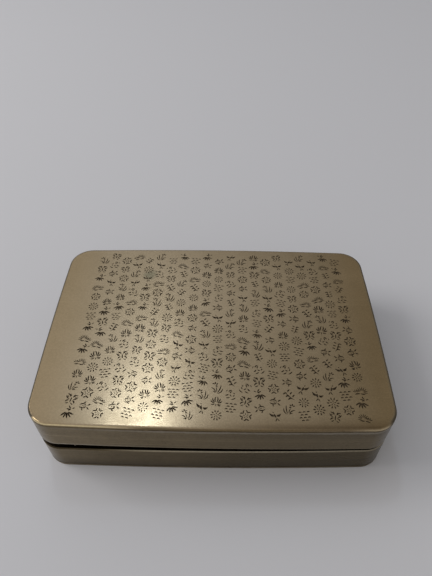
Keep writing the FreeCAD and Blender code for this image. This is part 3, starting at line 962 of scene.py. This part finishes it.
def lay_tools(rounds, top, above, depth, broad):
    """One mesh for each round of (stroke, place, flip), in the place of the face that it works on."""
    cut = chisel_cut()
    points = [v.co.copy() for v in cut.data.vertices]
    faces = [tuple(f.vertices) for f in cut.data.polygons]
    bpy.data.objects.remove(cut)
    for strokes in rounds:
        all_points, all_faces = [], []
        for stroke, place, flip in strokes:
            first = len(all_points)
            all_points += [top @ p for p in lay_cut(points, stroke, place, above, depth, broad)]
            all_faces += [tuple(first + k for k in face[::flip]) for face in faces]
        mesh = bpy.data.meshes.new("laid_cuts")
        mesh.from_pydata(all_points, [], all_faces)
        mesh.update()
        tool = bpy.data.objects.new("laid_cuts", mesh)
        bpy.context.scene.collection.objects.link(tool)
        yield tool


def work_in(piece, top, rounds, above, depth, broad, operation, *finishes):
    """Cuts the strokes into a piece, or raises them on it, in the second of two finishes."""
    for tool in lay_tools(rounds, top, above, depth, broad):
        finish(tool, *finishes)
        for face in tool.data.polygons:
            face.material_index = 1
        carve(piece, tool, operation)


def field_in_rounds():
    """The strokes of the whole field, shared out in the rounds of their motifs."""
    rounds = {motif: rounds_of_cutting(motif) for motif in MOTIFS}
    for level in range(max(len(strokes) for strokes in rounds.values())):
        yield [(stroke, place, flip) for motif, place, flip in field_of_motifs()
               for strokes in rounds[motif][level:level + 1] for stroke in strokes]


def mark_out(plate, top):
    """Joins each flat side's triangles, sets a narrow margin inside it, and squares up the top face."""
    select(plate, "FACE", lambda face: True)
    bpy.ops.mesh.dissolve_limited(angle_limit=math.radians(0.05))
    object_mode()
    wide = max(face.area for face in plate.data.polygons) / 4
    select(plate, "FACE", lambda face: face.area > wide)
    bpy.ops.mesh.inset(thickness=FLAT_MARGIN, use_individual=True)
    object_mode()
    normal = top.col[2].to_3d()
    divide(plate, lambda face: face.normal.dot(normal) > 0.99999, Vector(),
           ((X_AXIS, (FIELD_COLUMNS + 4) // 2, COLUMN_PITCH), (Y_AXIS, (FIELD_ROWS + 2) // 2, ROW_PITCH)))


def lay_brushed_way(plate):
    """A UV map whose first axis runs along the plate, as it was brushed."""
    flat = plate.data.uv_layers.new(name=BRUSHED_WAY)
    for loop in plate.data.loops:
        spot = plate.data.vertices[loop.vertex_index].co
        flat.data[loop.index].uv = (0.5 + spot.x / PLATE_SPAN, 0.5 + spot.y / PLATE_SPAN)


def engraved_lid_plate(brass, groove):
    plate = copy_of_node("engraved_lid_plate", "lid_top_plate")
    finish(plate, brass, groove)
    top = top_face("lid_top_plate")
    mark_out(plate, top)
    work_in(plate, top, field_in_rounds(), CUT_ABOVE, CUT_DEPTH, BROAD_CUT, "DIFFERENCE", brass, groove)
    smooth(plate)
    lay_brushed_way(plate)
    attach(plate, "lid")
    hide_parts("lid_top_plate")


# ---- walls

GROOVE_SIDE = 0.16 * MM
GROOVE_LENGTH = 100.0 * MM
BEAD_PLACE = -52.5 * MM
BEAD_RADIUS = 0.32 * MM
BEAD_SHAPE = (1.5, 0.8, 0.9)
SEAM_AIM = 8.0 * MM         # height, above the foot or under the plate, at which a seam is looked for


def meet_wall(band, axes, x, height, way):
    """Where a line from the side, level with the band's own axes, meets it."""
    hit, spot, _, _ = band.ray_cast(axes @ Vector((x, way, height)), axes.to_3x3() @ Vector((0, -way, 0)))
    if not hit:
        raise RuntimeError("no wall at %.3f" % x)
    return spot


def groove_seam(band, axes, height):
    """The fine groove that is left where the ends of the strip were brazed together, at the back."""
    spot = meet_wall(band, axes, SEAM_PLACE, height, 1.0)
    deselect()
    bpy.ops.mesh.primitive_cube_add(size=1)
    tool = bpy.context.object
    turned = axes.to_3x3().to_4x4() @ Matrix.Rotation(math.radians(45), 4, "Z")
    long = Matrix.Diagonal((GROOVE_SIDE, GROOVE_SIDE, GROOVE_LENGTH, 1))
    tool.matrix_world = Matrix.Translation(spot) @ turned @ long
    carve(band, tool)


def braze_bead(band, axes, height):
    """A bead of brass left on the wall's edge, at the front."""
    spot = meet_wall(band, axes, BEAD_PLACE, height, -1.0)
    deselect()
    bpy.ops.mesh.primitive_ico_sphere_add(subdivisions=2, radius=BEAD_RADIUS, location=spot, scale=BEAD_SHAPE)
    carve(band, bpy.context.object, "UNION")


def bent_band(name, node, body, brass, axes, height):
    """A wall, bent from one strip, with the groove of its seam."""
    band = copy_of_node(name, node)
    finish(band, brass)
    groove_seam(band, axes, height)
    if body == "lid":
        foot = min((axes.inverted() @ vertex.co).z for vertex in band.data.vertices)
        braze_bead(band, axes, foot + 1.2 * BEAD_RADIUS)
    smooth(band)
    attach(band, body)
    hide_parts(node)


# ---- ink stick

STICK_ROUND = 1.2 * MM
STICK_BORDER = 2.6 * MM
STICK_SUNK = 0.5 * MM
STICK_SLOPE = 0.2 * MM          # how far the border's inner side leans
THREAD_MARGIN = 0.7 * MM        # border to the raised thread inside it
THREAD_SLOPE = 0.12 * MM
THREAD_WIDTH = 0.3 * MM
THREAD_HEIGHT = 0.25 * MM
RIDGE_ROOT = 0.15 * MM
RIDGE_HEIGHT = 0.38 * MM
BROAD_RIDGE = 1.1               # mm: a ridge this wide has the full height
CELL_PITCH = 4.6 * MM
SUNK_HALF = 4.4 * MM            # half of the sunk face, inside its thread
SAME_LEVEL = 0.05 * MM
WORN_TOP = 3.4 * MM             # how far the end is ground away at the top
WORN_LEAN = Vector((0.07, -0.93, 0.36))


def stick_picture():
    """A leaning bamboo with leaf sprays between two clouds; millimetres along the stick, then across."""
    for k in range(5):
        start = -26.6 + 10.9 * k
        yield (start, -1.5 + 0.6 * k), (start + 10.5, -0.9 + 0.6 * k), 0.15, 1.5
    for k in range(4):
        along, across, side = -15.9 + 10.9 * k, -0.9 + 0.6 * k, (-1) ** k
        yield from rays((along, across + 0.9 * side), (14 * side, 42 * side, 74 * side), 0.9, 4.6, 1.15, 0.2)
        yield from rays((along, across + 0.9 * side), (150 * side,), 0.9, 4.4, 1.15, -0.2)
    for end in (-31.2, 31.2):
        for (a, b), (c, d), bow, width in cloud():
            yield (end + 5.2 * a, 5.2 * b), (end + 5.2 * c, 5.2 * d), 5.2 * bow, 5.2 * width


def widest_top(piece):
    """The piece's largest upward face."""
    return max((f for f in piece.data.polygons if f.normal.z > 0.99), key=lambda f: f.area)


def step_in(piece, *steps):
    """Insets the top face in steps of (width, rise)."""
    for width, rise in steps:
        top = widest_top(piece).index
        select(piece, "FACE", lambda face: face.index == top)
        bpy.ops.mesh.inset(thickness=width, depth=rise)
        object_mode()


def grind_end(stick, low, high):
    """The end that has been rubbed on the stone, slanted and flat."""
    select(stick, "FACE", lambda face: True)
    bpy.ops.mesh.bisect(plane_co=(0.5 * (low.x + high.x), low.y + WORN_TOP, high.z), plane_no=WORN_LEAN,
                        clear_outer=True, use_fill=True)
    object_mode()


def moulded_stick(ink, gilding):
    low, high = (Vector(corner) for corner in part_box("ink_stick"))
    deselect()
    bpy.ops.mesh.primitive_cube_add(size=1, location=(low + high) / 2, scale=high - low)
    stick = bpy.context.object
    stick.name = "moulded_ink_stick"
    bpy.ops.object.transform_apply()
    finish(stick, ink, gilding)
    modify(stick, "BEVEL", width=STICK_ROUND, segments=5)
    step_in(stick, (STICK_BORDER - STICK_ROUND, 0), (STICK_SLOPE, -STICK_SUNK), (THREAD_MARGIN, 0),
            (THREAD_SLOPE, THREAD_HEIGHT), (THREAD_WIDTH, 0), (THREAD_SLOPE, -THREAD_HEIGHT))
    middle = widest_top(stick).center.copy()
    top = Matrix.Translation(middle) @ Matrix(((0, -1, 0), (1, 0, 0), (0, 0, 1))).to_4x4()
    divide(stick, lambda face: face.normal.z > 0.99 and abs(face.center.z - middle.z) < SAME_LEVEL
           and abs(face.center.x - middle.x) < SUNK_HALF,
           middle, ((Y_AXIS, 7, CELL_PITCH), (X_AXIS, 1, CELL_PITCH)))
    grind_end(stick, low, high)
    rounds = [[(stroke, Matrix.Diagonal((MM, MM, 1, 1)), -1) for stroke in strokes]
              for strokes in rounds_of_cutting(stick_picture)]
    work_in(stick, top, rounds, -RIDGE_ROOT, -RIDGE_HEIGHT, BROAD_RIDGE, "UNION", ink, gilding)
    smooth(stick, 32)
    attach(stick, "stick")
    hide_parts("ink_stick")


# ---- silk wadding

PAD_SLACK = Vector((1.8, 1.8, 1.9)) * MM        # how much smaller the pad starts, on each side
PAD_CELL = 3.0 * MM
PAD_SWELL = 1.7 * MM                            # the furthest that a point may move
PAD_FRAMES = 20
PAD_PRESSURE = 4.0
TUFT_HEIGHT = 0.6 * MM
TUFT_SPAN = 9.0 * MM
DIP_PLACE = Vector((-8.0, -6.0, 0)) * MM        # where the brush is dipped
DIP_REACH = 24.0 * MM
DIP_DEPTH = 1.5 * MM


def let_swell(piece):
    """Blows the pad up like a cushion, and keeps every point near where it started."""
    started = [vertex.co.copy() for vertex in piece.data.vertices]
    activate(piece)
    cloth = piece.modifiers.new("swell", "CLOTH")
    cloth.settings.use_pressure = True
    cloth.settings.uniform_pressure_force = PAD_PRESSURE
    cloth.settings.effector_weights.gravity = 0.0
    for step in range(1, PAD_FRAMES + 1):
        bpy.context.scene.frame_set(step)
    bpy.ops.object.modifier_apply(modifier="swell")
    bpy.context.scene.frame_set(1)
    for vertex, start in zip(piece.data.vertices, started):
        moved = vertex.co - start
        vertex.co = start + moved * min(1.0, PAD_SWELL / max(moved.length, 1e-9))


def tease(piece, low, high):
    """Tufts of floss, and the hollow where the brush is dipped; the pad stays in its own space."""
    normals = [vertex.normal.copy() for vertex in piece.data.vertices]
    for vertex, normal in zip(piece.data.vertices, normals):
        spot = vertex.co.copy()
        share = ramp_of(normal.z, -0.2, 0.6)
        tuft = mathutils.noise.fractal(spot / TUFT_SPAN, 0.8, 2.2, 4)
        away = (spot - DIP_PLACE).to_2d().length / DIP_REACH
        dip = DIP_DEPTH * max(0.0, 1 - away * away) ** 2
        spot += normal * (TUFT_HEIGHT * tuft * (0.35 + 0.65 * share))
        spot.z -= dip * share
        vertex.co = Vector([min(max(p, a), b) for p, a, b in zip(spot, low, high)])


def ramp_of(value, low, high):
    return min(max((value - low) / (high - low), 0.0), 1.0)


def floss_pad(silk):
    low, high = (Vector(corner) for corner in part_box("silk_wadding"))
    pad = copy_of_node("silk_floss_pad", "silk_wadding")
    finish(pad, silk)
    middle, size = (low + high) / 2, high - low
    smaller = Matrix.Diagonal([1 - 2 * slack / side for slack, side in zip(PAD_SLACK, size)])
    for vertex in pad.data.vertices:
        vertex.co = middle + smaller @ (vertex.co - middle)
    modify(pad, "REMESH", mode="VOXEL", voxel_size=PAD_CELL)
    let_swell(pad)
    modify(pad, "SUBSURF", levels=2, render_levels=2)
    tease(pad, low, high)
    bpy.ops.object.shade_smooth()
    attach(pad, "base")
    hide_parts("silk_wadding")


# ---- the whole

def build():
    bpy.context.scene.view_settings.view_transform = "Standard"
    set_camera()
    set_room()
    for lamp in LAMPS:
        soft_box(*lamp)
    set_floor()
    for make_group in (brush_grain_group, old_brass_group, rubbed_edge_group, ragged_line_group,
                       stain_group, plate_rim_group):
        make_group()
    copper = red_copper()
    finishes = {
        "base_floor_plate": flat_brass("brushed_brass_floor", object_spot, WALL_CLEAN, WALL_DULL, 1.0),
        "base_wall_band": wall_brass("brushed_brass_base_wall", object_spot, LOW_WALL_CLEAN, LOW_WALL_DULL,
                                     [(FLOOR_SHEET, 0.8 * MM, 1.0)], foot=True),
        "inner_lip": inked_shaded_lip(),
        # the lid wall's dark line under the plate is partly dirt and partly painted shadow under the plate's
        # edge
        "lid_wall_band": wall_brass("brushed_brass_lid_wall", lid_spot, WALL_CLEAN, WALL_DULL,
                                    [(-PLATE_SHEET, 0.75 * MM, 0.5)],
                                    # painted highlight lines: one under the plate and one near the lid's
                                    # lower edge
                                    [(-PLATE_SHEET - 1.25 * MM, 0.95 * MM, 0.05, 0.8),
                                     (-LID_HEIGHT + 0.7 * MM, 0.6 * MM, 0.9, 0.12)]),
        "slab_frame": flat_brass("brushed_brass_frame", lid_spot, CLEAN_BRASS, DULL_BRASS, 0.6),
        "copper_liner": copper,
        "well_partition": copper,
        "slate_slab": honed_slate(),
        "slab_bed": lacquer_putty(),
        "silk_wadding": inked_silk(),
        "ink_stick": pressed_ink(),
    }
    for node, material in finishes.items():
        finish(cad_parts[node], material)
    engraved_lid_plate(engraved_brass(), groove_patina())
    bent_band("bent_lid_wall", "lid_wall_band", "lid", finishes["lid_wall_band"],
              top_face("lid_top_plate"), -SEAM_AIM)
    bent_band("bent_base_wall", "base_wall_band", "base", finishes["base_wall_band"], Matrix(), SEAM_AIM)
    moulded_stick(finishes["ink_stick"], worn_gilding())
    floss_pad(finishes["silk_wadding"])


build()
